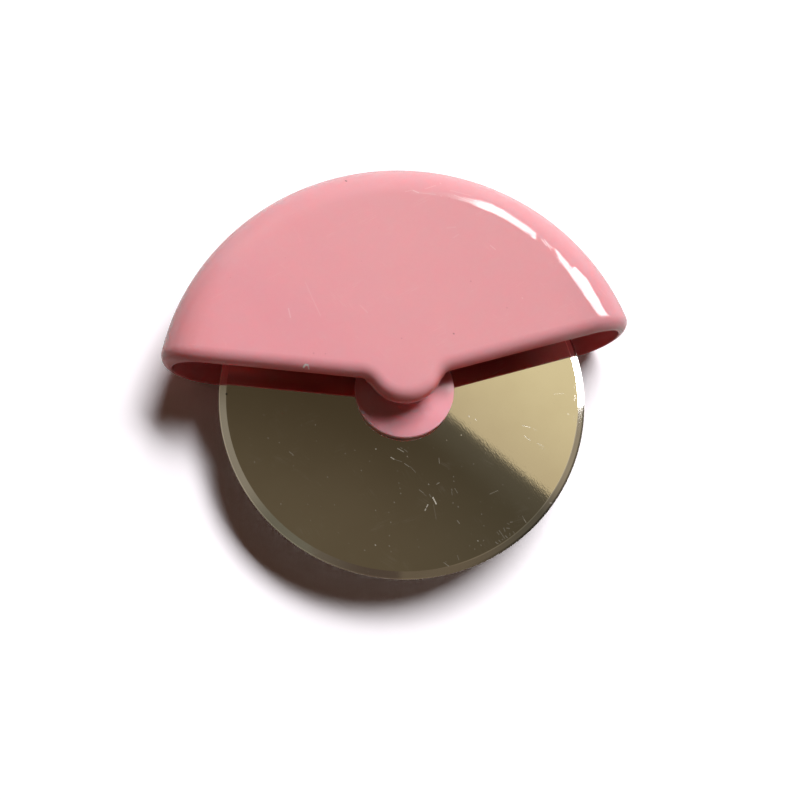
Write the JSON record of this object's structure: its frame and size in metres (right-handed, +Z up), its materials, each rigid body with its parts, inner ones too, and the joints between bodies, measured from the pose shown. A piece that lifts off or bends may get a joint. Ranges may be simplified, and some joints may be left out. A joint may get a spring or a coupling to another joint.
{
  "type": "pizza cutter",
  "caption": "Palm-grip pizza cutter: a disc blade on a plastic hub, turning freely on a pin inside a hollow fan-shaped plastic grip that is open along its mouth.",
  "frame": {"origin": "on the wheel's axis, at the surface that the grip's flat rear face rests on", "axes": "+Z up along the wheel's axis, out of the front face; +Y from the axis to the top of the grip; +X to the right, seen from the front"},
  "size_m": [0.1164, 0.1047, 0.023],
  "materials": {
    "grip_plastic": "glossy moulded pink plastic, lightly scuffed",
    "hub_plastic": "satin moulded pink plastic",
    "blade_steel": "polished stainless steel with a ground bevel and fine scratches",
    "axle_steel": "drawn steel pin",
    "washer_plastic": "natural acetal"
  },
  "bodies": {
    "grip": {"front_shell": "grip_plastic", "rear_shell": "grip_plastic", "axle_pin": "axle_steel", "front_washer": "washer_plastic", "rear_washer": "washer_plastic"},
    "wheel": {"cutting_blade": "blade_steel", "front_hub": "hub_plastic", "rear_hub": "hub_plastic"}
  },
  "joints": [
    {"name": "wheel_spin", "type": "hinge", "parent": "grip", "child": "wheel", "pos_m": [0, 0, 0.0115], "axis": [0, 0, 1], "continuous": true}
  ]
}
